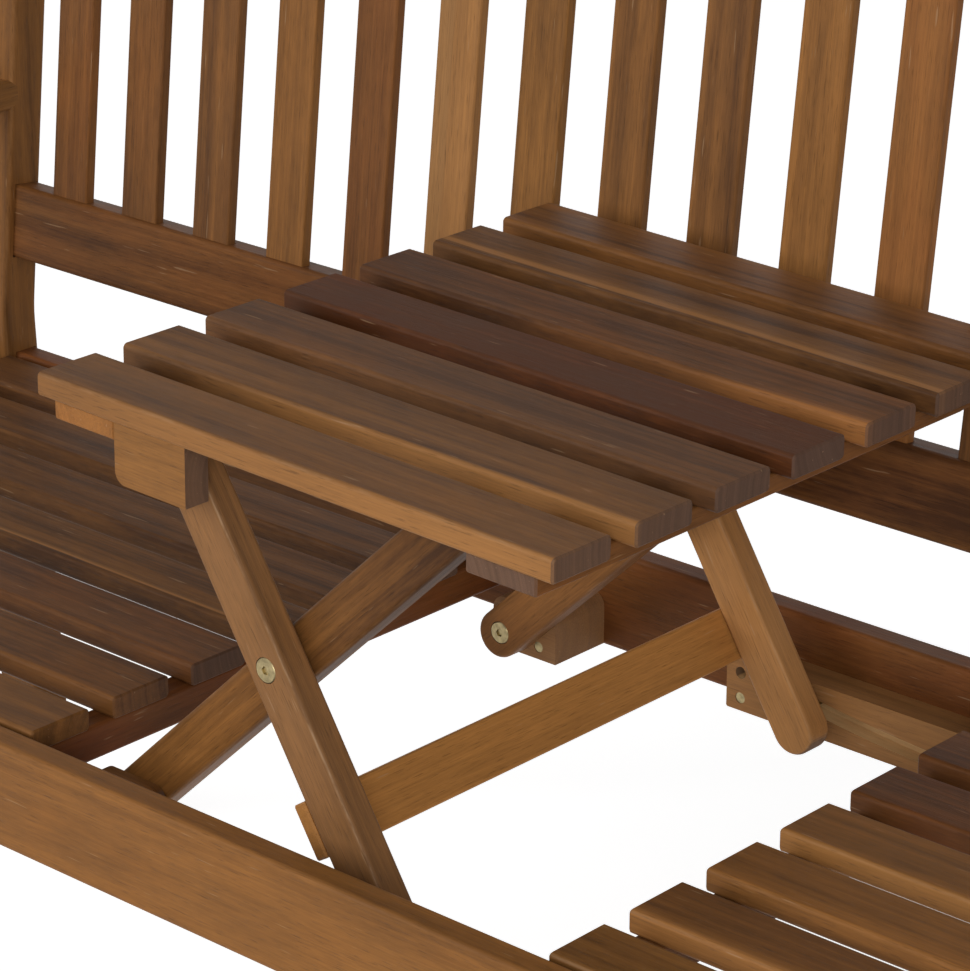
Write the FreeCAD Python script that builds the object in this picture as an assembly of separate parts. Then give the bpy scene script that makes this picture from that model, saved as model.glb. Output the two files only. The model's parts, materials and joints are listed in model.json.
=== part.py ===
import FreeCAD
import Part
import math
import os

# Companion seat bench: two seats with a small table between them, which rises on scissor legs.
# Millimetres, Z up from the ground, X along the bench and Y from its front to its back.
# The pieces are laid out from the inner face of the front seat rail and centred at the end.

V = FreeCAD.Vector
AXIS_X = V(1, 0, 0)
AXIS_Y = V(0, 1, 0)
AXIS_Z = V(0, 0, 1)

# Overall sizes
seat_height = 430.0
bench_height = 920.0
clear_width = 1480.0
clear_depth = 459.0

# Slats of the seats and the table
slat_count = 7
slat_width = 47.3
slat_thickness = 15.0
slat_rounding = 3.0
slat_margin = 3.0
slat_margin_rear = 7.3
slat_end_gap = 2.0
table_length = 395.0
bay_gap = 9.8

# Seat rails and the bearers under the seat slats
rail_thickness = 20.0
rail_height = 71.0
rail_below_slats = 0.6
rail_rounding = 3.5
bearer_width = 20.0
bearer_height = 24.0
bearer_setback = 3.7

# End frames
post_width = 45.0
front_leg_depth = 40.0
back_post_depth = 32.0
foot_splay = 18.0
knee_above_seat = 30.0
knee_radius = 140.0
post_rounding = 4.0
post_top_rounding = 9.0
side_rail_thickness = 20.0
housing_depth = 5.0
arm_top = 642.0
arm_thickness = 22.0
arm_overhang = 28.0
arm_corner = 14.0
arm_tenon_width = 25.0
arm_tenon_height = 10.0

# Backrest
back_tilt = 6.2
back_setback = 1.8
back_above_seat = 75.6
back_rail_height = 57.0
back_rail_thickness = 23.3
back_rail_rounding = 4.0
back_post_proud = 6.5
post_above_rail = 8.0
back_slat_count = 19
back_slat_width = 37.5
back_slat_thickness = 9.0
back_slat_rounding = 2.0
back_slat_recess = 3.3
back_slat_tenon = 12.0

# Scissor legs: raised angles from the level, and pivot distances along each leg
base_pivot_x = -171.3
base_pivot_drop = 47.7
inner_raised = 43.4
inner_lower = 193.4
inner_upper = 165.4
outer_raised = 57.9
outer_upper = 134.0
outer_lower = 157.0
inner_leg_width = 33.0
inner_leg_thickness = 21.6
outer_leg_width = 31.5
outer_leg_thickness = 21.0
leg_rounding = 3.5
leg_end_reach = 4.0
foot_reach = 11.5
leg_play = 0.8
foot_gap = 5.7

# Table frame under the slats
table_sag = 1.14
table_overhang = 85.0
table_pivot_depth = 20.5
batten_thickness = 12.5
batten_margin = 4.0
batten_inset_left = 10.0
batten_inset_right = 14.3
batten_width = 50.0
ramp_clearance = 1.0
notch_clearance = 2.0
fold_gap = 0.5
hinge_block_length = 58.0
hinge_block_thickness = 18.0
hinge_block_height = 38.5
hinge_block_inset = 4.5
hinge_block_corner = 8.0

# Blocks on the seat rails that carry the legs
block_lift = 1.5
base_block_left = 25.7
base_block_right = 30.3
base_block_height = 37.0
base_block_corner = 10.0
guide_thickness = 23.8
guide_height = 37.5
guide_start = -15.0
guide_end_wall = 12.0
guide_screw_inset = 11.5
guide_screw_height = 9.0
deep_screw_height = 27.0
deep_screw_sink = 8.0
block_rounding = 1.5

# Stretcher between the outer legs
stretcher_start = 78.0
stretcher_width = 35.0
stretcher_thickness = 10.0

# Pins, bolts and screws
pin_radius = 4.0
head_bar_radius = 7.5
running_clearance = 0.06
slot_clearance = 1.25
slot_depth = 11.0
slot_wall = 5.0
head_radius = 7.7
head_thickness = 2.6
head_proud = 0.3
head_clearance = 0.3
socket_flats = 5.0
socket_depth = 1.8
bolt_grip = 30.0
nut_radius = 6.0
washer_radius = 9.0
rail_bolt_radius = 3.0
rail_head_sink = 0.5
rail_bolt_reach = 38.0
barrel_radius = 5.0
barrel_length = 12.0
barrel_setback = 30.0
screw_radius = 2.0
screw_head_radius = 3.8
screw_head_height = 2.2
screw_sink = 0.4
screw_bite = 9.0
end_bevel = 1.2
head_bevel = 0.5
pin_end_gap = 0.3
bolt_end_gap = 0.5
blind_gap = 1.0
side_play = 0.1
nut_sink = 0.2


def box(x0, x1, y0, y1, z0, z1):
    """A plain block between two corners."""
    return Part.makeBox(x1 - x0, y1 - y0, z1 - z0, V(x0, y0, z0))


def runs_along(edge, axis):
    """True for a straight edge that runs along an axis."""
    if not isinstance(edge.Curve, Part.Line):
        return False
    return abs(edge.tangentAt(edge.FirstParameter).dot(axis)) > 0.9999


def rounded(shape, radius, axis):
    """Rounds the straight edges that run along an axis."""
    return shape.makeFillet(radius, [e for e in shape.Edges if runs_along(e, axis)])


def board(block, axis, rounding):
    """A sawn board: long edges rounded, ends eased by a small bevel."""
    bar = rounded(block, rounding, axis)
    return bar.makeChamfer(end_bevel, [e for e in bar.Edges if not runs_along(e, axis)])


def prism(points, y0, y1):
    """A flat outline in the XZ plane, drawn with straight sides and made y1 - y0 thick."""
    corners = [V(x, y0, z) for x, z in points]
    face = Part.Face(Part.makePolygon(corners + corners[:1]))
    return face.extrude(V(0, y1 - y0, 0))


def rod(x, z, y0, y1, radius):
    """A cylinder across the bench, from y0 to y1."""
    low, high = min(y0, y1), max(y0, y1)
    return Part.makeCylinder(radius, high - low, V(x, low, z), AXIS_Y)


def mirrored_back(shape):
    """The rear twin of a piece at the front seat rail."""
    return shape.mirror(V(0, seat_depth / 2, 0), AXIS_Y)


def mirrored_right(shape):
    """The right-hand twin of a left-hand piece."""
    return shape.mirror(V(0, 0, 0), AXIS_X)


def one_solid(shape):
    """The single solid of a cut or fused shape."""
    return shape.removeSplitter().Solids[0]


# Seat layout, worked out from the slats
seat_depth = clear_depth
slat_pitch = (clear_depth - slat_margin - slat_margin_rear - slat_width) / (slat_count - 1)
slats_end = slat_margin + (slat_count - 1) * slat_pitch + slat_width
slat_underside = seat_height - slat_thickness
rail_top = seat_height - rail_below_slats
rail_bottom = rail_top - rail_height
block_floor = rail_bottom + block_lift
bay_half = table_length / 2 + bay_gap
half_width = clear_width / 2
rail_centre_y = -rail_thickness / 2


def lerp(a, b, t):
    """The value a share t of the way from a to b."""
    return a + (b - a) * t


# Folding geometry. The table ends flush with the seats, with the inner legs just under its batten.
base_pivot = (base_pivot_x, seat_height - base_pivot_drop)
top_pivot_lowered = slat_underside - table_pivot_depth
head_pin_lowered = slat_underside - batten_thickness - fold_gap - inner_leg_width / 2
inner_lowered = math.degrees(math.asin((head_pin_lowered - base_pivot[1]) / (inner_lower + inner_upper)))
centre_lowered = base_pivot[1] + inner_lower * math.sin(math.radians(inner_lowered))
outer_lowered = math.degrees(math.asin((top_pivot_lowered - centre_lowered) / outer_upper))


def polar(start, length, degrees):
    """A point in the XZ plane at a distance and an angle from another."""
    angle = math.radians(degrees)
    return (start[0] + length * math.cos(angle), start[1] + length * math.sin(angle))


def linkage(t):
    """The centre bolt, top pivot, foot pin and head pin, from raised at t = 0 to lowered at t = 1."""
    inner = lerp(inner_raised, inner_lowered, t)
    outer = lerp(outer_raised, outer_lowered, t)
    centre = polar(base_pivot, inner_lower, inner)
    top = polar(centre, outer_upper, 180 - outer)
    foot = polar(centre, outer_lower, -outer)
    head = polar(centre, inner_upper, inner)
    return centre, top, foot, head


centre_pivot, top_pivot, foot_pin, head_pin = linkage(0)
slot_radius = pin_radius + slot_clearance
guide_end = linkage(1)[2][0] + slot_radius + guide_end_wall


def head_pin_in_table(t):
    """Where the head pin lies in the table, drawn level at its raised height."""
    top, head = linkage(t)[1], linkage(t)[3]
    sag = math.radians(lerp(table_sag, 0, t))
    dx, dz = head[0] - top[0], head[1] - top[1]
    x = top_pivot[0] + dx * math.cos(sag) - dz * math.sin(sag)
    z = top_pivot[1] + dx * math.sin(sag) + dz * math.cos(sag)
    return (x, z)


def arc_slot(path, radius, y0, y1):
    """A slot whose centre line is an arc through three points, for a pin of that radius to slide in."""
    start, middle, end = [V(x, y0, z) for x, z in path]
    circle = Part.Circle(start, middle, end)
    centre, reach = circle.Center, circle.Radius
    away = [[centre + (p - centre) * ((reach + side * radius) / reach) for p in (start, middle, end)]
            for side in (1, -1)]
    turn = (end - middle).cross(middle - start).dot(AXIS_Y)
    ahead = AXIS_Y.cross(end - centre).normalize() * math.copysign(radius, -turn)
    behind = AXIS_Y.cross(start - centre).normalize() * math.copysign(radius, turn)
    edges = [
        Part.Arc(*away[0]).toShape(),
        Part.Arc(away[0][2], end + ahead, away[1][2]).toShape(),
        Part.Arc(*reversed(away[1])).toShape(),
        Part.Arc(away[1][0], start + behind, away[0][0]).toShape(),
    ]
    return Part.Face(Part.Wire(Part.__sortEdges__(edges))).extrude(V(0, y1 - y0, 0))


# Fasteners
def socket_head(x, z, face_y, inwards):
    """A flat bolt head that stands a little proud of a face, with a hexagon socket."""
    outer_y = face_y - inwards * head_proud
    head = rod(x, z, outer_y, face_y + inwards * (head_thickness - head_proud), head_radius)
    rim = [e for e in head.Edges if e.Length > head_radius and abs(e.CenterOfMass.y - outer_y) < 0.01]
    head = head.makeChamfer(head_bevel, rim)
    corner = socket_flats / math.sqrt(3)
    hexagon = [polar((x, z), corner, 60 * i) for i in range(6)]
    floor_y = outer_y + inwards * socket_depth
    return head.cut(prism(hexagon, min(outer_y, floor_y), max(outer_y, floor_y)))


def pivot_bolt(x, z, face_y, tip_y):
    """A socket-head bolt across the bench, its head at face_y and its tip at tip_y."""
    inwards = math.copysign(1, tip_y - face_y)
    return one_solid(socket_head(x, z, face_y, inwards).fuse(rod(x, z, face_y + inwards, tip_y, pin_radius)))


def bolt_hole(x, z, y0, y1):
    """A running hole for a pivot pin or bolt."""
    return rod(x, z, y0, y1, pin_radius + running_clearance)


def head_recess(x, z, face_y, inwards):
    """The shallow round recess that a bolt head sits in."""
    depth = head_thickness - head_proud + running_clearance
    return rod(x, z, face_y - inwards, face_y + inwards * depth, head_radius + head_clearance)


def screw_outline(head_down):
    """Half the section of a countersunk screw: radius and distance from the face of the wood."""
    head_end = screw_sink + screw_head_height
    return [(0, screw_sink), (screw_head_radius, screw_sink), (screw_radius, head_end),
            (screw_radius, head_down), (0, head_down + screw_radius)]


def turned(outline, start, direction):
    """A solid turned about a line, from radius and distance pairs."""
    side = AXIS_Y if abs(direction.dot(AXIS_Y)) < 0.5 else AXIS_X
    points = [start + direction * along + side * radius for radius, along in outline]
    return Part.Face(Part.makePolygon(points + points[:1])).revolve(start, direction, 360)


def screw(start, direction, length):
    """A countersunk wood screw whose head lies just under the face at its start."""
    return turned(screw_outline(length), start, direction)


def screw_hole(start, direction, length):
    """The countersunk hole that a screw fills, open at the face."""
    outline = screw_outline(length)
    opened = [(0, -1), (screw_head_radius, -1)] + outline[1:]
    return turned([(r + running_clearance if r else 0, s) for r, s in opened], start, direction)


def fix(pieces, screws):
    """Drills every screw's hole through the pieces that it passes."""
    holes = Part.makeCompound([screw_hole(*s) for s in screws])
    return [one_solid(piece.cut(holes)) for piece in pieces]


# Seat slats and rails
def slat(index, x0, x1, top):
    """One slat of the seat or table, counted from the front."""
    y = slat_margin + index * slat_pitch
    return board(box(x0, x1, y, y + slat_width, top - slat_thickness, top), AXIS_X, slat_rounding)


def seat_rail(y0):
    """A rail along the bench, housed in the legs at both ends."""
    reach = half_width + housing_depth
    return rounded(box(-reach, reach, y0, y0 + rail_thickness, rail_bottom, rail_top), rail_rounding, AXIS_X)


def bearer(x0):
    """A bearer between the seat rails, under the seat slats."""
    block = box(x0, x0 + bearer_width, 0, seat_depth, slat_underside - bearer_height, slat_underside)
    return rounded(block, slat_rounding, AXIS_Y)


# Backrest, drawn upright and then tilted about the lower rail's front edge
back_pivot = V(0, seat_depth + back_setback, seat_height + back_above_seat)
back_reach = (bench_height - back_pivot.z) / math.cos(math.radians(back_tilt))
back_top_z = back_pivot.z + back_reach


def tilted(shape):
    """Leans a piece of the backrest back to its real angle."""
    return shape.rotated(back_pivot, AXIS_X, -back_tilt)


def back_rail_block(z0):
    """The full section of a rail of the backrest, upright."""
    reach = half_width + housing_depth
    y0 = back_pivot.y
    return box(-reach, reach, y0, y0 + back_rail_thickness, z0, z0 + back_rail_height)


lower_rail_z = back_pivot.z
top_rail_z = back_top_z - post_above_rail - back_rail_height
back_slat_gap = (clear_width - back_slat_count * back_slat_width) / (back_slat_count + 1)
back_slat_pitch = back_slat_width + back_slat_gap


def back_slat_block(index):
    """An upright slat with its ends let into the two rails."""
    x0 = -half_width + back_slat_gap + index * back_slat_pitch
    y0 = back_pivot.y + back_slat_recess
    z0 = lower_rail_z + back_rail_height - back_slat_tenon
    z1 = top_rail_z + back_slat_tenon
    return box(x0, x0 + back_slat_width, y0, y0 + back_slat_thickness, z0, z1)


def back_rail(z0, mortises):
    """A rail of the backrest with a mortise for each slat."""
    return rounded(back_rail_block(z0), back_rail_rounding, AXIS_X).cut(mortises)


def make_back():
    """The two rails and the slats of the backrest."""
    blocks = [back_slat_block(i) for i in range(back_slat_count)]
    mortises = Part.makeCompound(blocks)
    slats = [rounded(b, back_slat_rounding, AXIS_Z) for b in blocks]
    rails = [tilted(back_rail(z, mortises)) for z in (lower_rail_z, top_rail_z)]
    return rails, [tilted(s) for s in slats]


# End frames, drawn for the left-hand end
def on_back(along, depth):
    """Y and Z of a point of the backrest: its distance up the lean and behind the rails' front face."""
    lean = math.radians(back_tilt)
    y = back_pivot.y + along * math.sin(lean) + depth * math.cos(lean)
    z = back_pivot.z + along * math.cos(lean) - depth * math.sin(lean)
    return y, z


def post_front_at(z):
    """Y of the back post's front face at a height above the knee."""
    lean = math.radians(back_tilt)
    return back_pivot.y - back_post_proud / math.cos(lean) + (z - back_pivot.z) * math.tan(lean)


def back_post():
    """A back leg and post in one piece, bent at a knee near the seat."""
    lean = math.radians(back_tilt)
    knee_z = seat_height + knee_above_seat
    knee_y = post_front_at(knee_z)
    rear = knee_y + back_post_depth / math.cos(lean)
    top_front = on_back(back_reach, -back_post_proud)
    top_rear = on_back(back_reach, back_post_depth - back_post_proud)
    foot_y = knee_y + foot_splay
    foot_rear = rear + foot_splay
    outline = [(foot_y, 0), (knee_y, knee_z), top_front, top_rear, (rear, knee_z), (foot_rear, 0)]
    corners = [V(-half_width, y, z) for y, z in outline]
    post = Part.Face(Part.makePolygon(corners + corners[:1])).extrude(V(-post_width, 0, 0))
    across = [e for e in post.Edges if runs_along(e, AXIS_X)]
    knees = [e for e in across if abs(e.CenterOfMass.z - knee_z) < 1]
    post = post.makeFillet(knee_radius, knees)
    tops = [e for e in post.Edges if runs_along(e, AXIS_X) and e.CenterOfMass.z > top_front[1] - back_post_depth]
    post = post.makeFillet(post_top_rounding, tops)
    sides = [f for f in post.Faces if abs(f.normalAt(0, 0).dot(AXIS_X)) > 0.99]
    rims = [e for f in sides for e in f.Edges if e.CenterOfMass.z > 1]
    return post.makeFillet(post_rounding, rims)


def front_leg():
    """A front leg with a tenon for the armrest on top."""
    y1 = rail_centre_y + front_leg_depth / 2
    x0, x1 = -half_width - post_width, -half_width
    top = arm_top - arm_thickness
    leg = rounded(box(x0, x1, y1 - front_leg_depth, y1, 0, top), post_rounding, AXIS_Z)
    return one_solid(leg.fuse(arm_tenon()))


def arm_tenon():
    """The stub on a front leg that enters the armrest."""
    middle = -half_width - post_width / 2
    reach = arm_tenon_width / 2
    top = arm_top - arm_thickness
    return box(middle - reach, middle + reach, rail_centre_y - reach, rail_centre_y + reach,
               top, top + arm_tenon_height)


def armrest():
    """An armrest from the back post to a little ahead of the front leg."""
    front = rail_centre_y - front_leg_depth / 2 - arm_overhang
    back = post_front_at(arm_top) + housing_depth
    x0, x1 = -half_width - post_width, -half_width
    arm = box(x0, x1, front, back, arm_top - arm_thickness, arm_top)
    corners = [e for e in arm.Edges if runs_along(e, AXIS_Z) and e.CenterOfMass.y < front + 1]
    arm = arm.makeFillet(arm_corner, corners)
    rims = [e for e in arm.Edges if not runs_along(e, AXIS_Z) and e.CenterOfMass.y < back - 1]
    return arm.makeFillet(post_rounding, rims)


def side_rail_block():
    """The full section of the side rail of an end frame, between its front leg and back post."""
    middle = -half_width - post_width / 2
    y0 = rail_centre_y + front_leg_depth / 2 - housing_depth
    y1 = post_front_at(seat_height + knee_above_seat) + housing_depth
    half = side_rail_thickness / 2
    return box(middle - half, middle + half, y0, y1, rail_bottom, rail_top)


def across_rod(x0, x1, y, z, radius):
    """A cylinder along the bench."""
    return Part.makeCylinder(radius, x1 - x0, V(x0, y, z), AXIS_X)


def rail_bolt(y, z):
    """A bolt that draws a rail to the outer face of a left-hand leg, and its barrel nut in the rail."""
    outer = -half_width - post_width
    shank = across_rod(outer + head_thickness, -half_width + rail_bolt_reach, y, z, rail_bolt_radius)
    face = outer + rail_head_sink
    head = across_rod(face, face + head_thickness, y, z, head_radius)
    socket = Part.makeCylinder(socket_flats / 2, socket_depth, V(face, y, z), AXIS_X)
    return one_solid(head.cut(socket).fuse(shank))


def rail_bolt_hole(y, z):
    """The hole for a rail bolt with the recess for its head."""
    outer = -half_width - post_width
    end = -half_width + rail_bolt_reach + blind_gap
    hole = across_rod(outer, end, y, z, rail_bolt_radius + running_clearance)
    depth = rail_head_sink + head_thickness + running_clearance
    return hole.fuse(across_rod(outer - 1, outer + depth, y, z, head_radius + head_clearance))


def barrel_nut(y, z, open_back):
    """A cross-dowel nut, from the back of a rail, round the bolt."""
    x = -half_width + barrel_setback
    block = rod(x, z, open_back - barrel_length, open_back, barrel_radius)
    return block.cut(across_rod(x - 2 * barrel_radius, x + 2 * barrel_radius, y, z,
                                rail_bolt_radius + running_clearance))


# Scissor legs
def leg(low, high, width, reach_low, reach_high, y0, thickness):
    """A flat leg with rounded ends, from its low pivot to its high one."""
    length = math.dist(low, high)
    r = width / 2
    start, end = -reach_low, length + reach_high
    edges = [
        Part.LineSegment(V(start, y0, -r), V(end, y0, -r)).toShape(),
        Part.Arc(V(end, y0, -r), V(end + r, y0, 0), V(end, y0, r)).toShape(),
        Part.LineSegment(V(end, y0, r), V(start, y0, r)).toShape(),
        Part.Arc(V(start, y0, r), V(start - r, y0, 0), V(start, y0, -r)).toShape(),
    ]
    blank = Part.Face(Part.Wire(edges)).extrude(V(0, thickness, 0))
    blank = blank.makeFillet(leg_rounding, [e for e in blank.Edges if not runs_along(e, AXIS_Y)])
    slope = math.degrees(math.atan2(high[1] - low[1], high[0] - low[0]))
    return blank.rotated(V(0, 0, 0), AXIS_Y, -slope).translated(V(low[0], 0, low[1]))


outer_front = guide_thickness + foot_gap
outer_back = outer_front + outer_leg_thickness
inner_front = outer_back + leg_play
inner_back = inner_front + inner_leg_thickness


def outer_leg():
    """A front outer leg, from its foot pin to the table's hinge block."""
    blank = leg(foot_pin, top_pivot, outer_leg_width, foot_reach, leg_end_reach,
                outer_front, outer_leg_thickness)
    for x, z in (top_pivot, centre_pivot):
        blank = blank.cut(bolt_hole(x, z, outer_front - 1, outer_back + 1))
    blank = blank.cut(bolt_hole(*foot_pin, outer_front - 1, outer_back - slot_wall))
    blank = blank.cut(head_recess(*centre_pivot, outer_front, 1))
    return blank.cut(head_recess(*top_pivot, outer_back - head_proud, -1))


def inner_leg():
    """A front inner leg, from its base block to its round head under the table slats."""
    blank = leg(base_pivot, head_pin, inner_leg_width, leg_end_reach, 0, inner_front, inner_leg_thickness)
    for x, z in (base_pivot, centre_pivot):
        blank = blank.cut(bolt_hole(x, z, inner_front - 1, inner_back + 1))
    blank = blank.cut(rod(*head_pin, inner_front + slot_wall, inner_back + 1, head_bar_radius + running_clearance))
    blank = blank.cut(rod(*centre_pivot, inner_back - head_thickness, inner_back + 1,
                          nut_radius + running_clearance))
    return blank.cut(head_recess(*base_pivot, inner_back, -1))


def centre_fasteners():
    """The bolt through a pair of crossing legs, its nut and the washer between the legs."""
    x, z = centre_pivot
    bolt = pivot_bolt(x, z, outer_front, inner_back - bolt_end_gap)
    nut = rod(x, z, inner_back - head_thickness, inner_back - nut_sink, nut_radius)
    nut = nut.cut(bolt_hole(x, z, inner_front, inner_back + 1))
    washer = rod(x, z, outer_back + side_play, inner_front - side_play, washer_radius)
    washer = washer.cut(bolt_hole(x, z, outer_back - 1, inner_front + 1))
    return [bolt, nut, washer]


def stretcher():
    """The board that joins the two outer legs, on their lower edges."""
    r = outer_leg_width / 2
    length = seat_depth - 2 * outer_front
    block = box(stretcher_start, stretcher_start + stretcher_width, outer_front, outer_front + length,
                -r - stretcher_thickness, -r)
    bar = board(block, AXIS_Y, slat_rounding / 2)
    return bar.rotated(V(0, 0, 0), AXIS_Y, outer_raised).translated(V(centre_pivot[0], 0, centre_pivot[1]))


def stretcher_screws():
    """Two screws through the stretcher into each outer leg."""
    up_x, up_z = polar((0, 0), 1, 90 - outer_raised)
    out = V(up_x, 0, up_z)
    screws = []
    for share in (0.25, 0.75):
        x, z = polar(centre_pivot, stretcher_start + share * stretcher_width, -outer_raised)
        face = V(x, 0, z) - out * (outer_leg_width / 2 + stretcher_thickness)
        for y in (outer_front + outer_leg_thickness / 2, seat_depth - outer_front - outer_leg_thickness / 2):
            screws.append((V(face.x, y, face.z), out, stretcher_thickness + screw_bite))
    return screws


# Table
table_left = top_pivot[0] - table_overhang
table_right = table_left + table_length
table_underside = top_pivot[1] + table_pivot_depth
table_top = table_underside + slat_thickness
batten_left = table_left + batten_inset_left
batten_right = table_right - batten_inset_right


def sagged(shape):
    """Tips a level piece of the raised table about its top pivot by its sag."""
    return shape.rotated(V(top_pivot[0], 0, top_pivot[1]), AXIS_Y, table_sag)


def head_bar():
    """The dowel that joins the heads of the two inner legs."""
    start = inner_front + slot_wall + pin_end_gap
    return rod(*head_pin, start, seat_depth - start, head_bar_radius)


def batten(x0, ramps):
    """A batten under the table slats. The right one has ramps that the inner legs fold along."""
    block = box(x0, x0 + batten_width, slat_margin + batten_margin, slats_end - batten_margin,
                table_underside - batten_thickness, table_underside)
    bar = board(block, AXIS_Y, slat_rounding / 2)
    return bar.cut(ramps) if ramps else bar


def batten_ramps():
    """Wedges over the path of the two heads, from where they stand raised to where they lie lowered."""
    start, end = head_pin_in_table(0), head_pin_in_table(1)
    rise = inner_leg_width / 2 + ramp_clearance
    floor = table_underside - batten_thickness - inner_leg_width
    outline = [(start[0], floor), (end[0], floor), (end[0], end[1] + rise), (start[0], start[1] + rise)]
    front = prism(outline, inner_front - notch_clearance, inner_back + notch_clearance)
    return Part.makeCompound([front, mirrored_back(front)])


def hinge_block():
    """The front block under the table that the outer leg hangs from."""
    x0 = batten_left + batten_width
    y0 = slat_margin + hinge_block_inset
    block = box(x0, x0 + hinge_block_length, y0, y0 + hinge_block_thickness,
                table_underside - hinge_block_height, table_underside)
    corner = [e for e in block.Edges if runs_along(e, AXIS_Y)
              and e.CenterOfMass.x < x0 + 1 and e.CenterOfMass.z < table_underside - 1]
    block = block.makeFillet(hinge_block_corner, corner)
    return block.cut(bolt_hole(*top_pivot, y0 + slot_wall, y0 + hinge_block_thickness + 1))


def top_fasteners():
    """The bolt that hangs an outer leg from its hinge block, and the spacer on it."""
    x, z = top_pivot
    back = slat_margin + hinge_block_inset + hinge_block_thickness
    bolt = pivot_bolt(x, z, outer_back - head_proud, back - hinge_block_thickness + slot_wall + bolt_end_gap)
    spacer = rod(x, z, back + side_play, outer_front - side_play, nut_radius)
    return [bolt, spacer.cut(bolt_hole(x, z, back, outer_front))]


def table_screws():
    """Screws from below: one through each batten into each slat, and two in each block."""
    screws = []
    for x in (batten_left + batten_width / 2, batten_right - batten_width / 2):
        for i in range(slat_count):
            y = slat_margin + i * slat_pitch + slat_width / 2
            screws.append((V(x, y, table_underside - batten_thickness), AXIS_Z, batten_thickness + screw_bite))
    return screws


# Blocks on the seat rails
def base_block():
    """The front block that the inner leg turns on."""
    x, z = base_pivot
    block = box(x - base_block_left, x + base_block_right, 0, outer_back,
                block_floor, block_floor + base_block_height)
    corners = [e for e in block.Edges if runs_along(e, AXIS_Y) and e.CenterOfMass.z > block_floor + 1]
    block = block.makeFillet(base_block_corner, corners)
    return block.cut(bolt_hole(x, z, outer_back - bolt_grip, outer_back + 1))


def guide_block():
    """The front block whose groove takes the foot pin of an outer leg."""
    path = [linkage(t)[2] for t in (0, 0.5, 1)]
    block = box(guide_start, guide_end, 0, guide_thickness, block_floor, block_floor + guide_height)
    block = rounded(block, block_rounding, AXIS_Y)
    slot = arc_slot(path, slot_radius, guide_thickness - slot_depth, guide_thickness + 1)
    sunk = rod(guide_start + guide_screw_inset, block_floor + deep_screw_height,
               guide_thickness - deep_screw_sink, guide_thickness + 1, screw_head_radius + screw_sink)
    return block.cut(slot).cut(sunk)


def block_screws():
    """Screws that hold a base block and a guide block to the front seat rail."""
    low, high = block_floor + guide_screw_height, block_floor + deep_screw_height
    first, last = guide_start + guide_screw_inset, guide_end - guide_screw_inset / 2
    left, right = base_pivot_x - base_block_left / 2, base_pivot_x + base_block_right / 2
    places = [(first, low, guide_thickness), (last, low, guide_thickness),
              (first, high, guide_thickness - deep_screw_sink), (left, low, outer_back), (right, low, outer_back)]
    return [(V(x, face, z), V(0, -1, 0), face + screw_bite) for x, z, face in places]


def seat_screws(bearer_x):
    """Screws from below through one bearer into the seat slats."""
    x = bearer_x + bearer_width / 2
    start = slat_underside - bearer_height
    return [(V(x, slat_margin + i * slat_pitch + slat_width / 2, start), AXIS_Z, bearer_height + screw_bite)
            for i in range(slat_count)]


def twin(screws):
    """The screws of the rear blocks, which mirror those of the front ones."""
    return [(V(p.x, seat_depth - p.y, p.z), V(d.x, -d.y, d.z), length) for p, d, length in screws]


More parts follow.
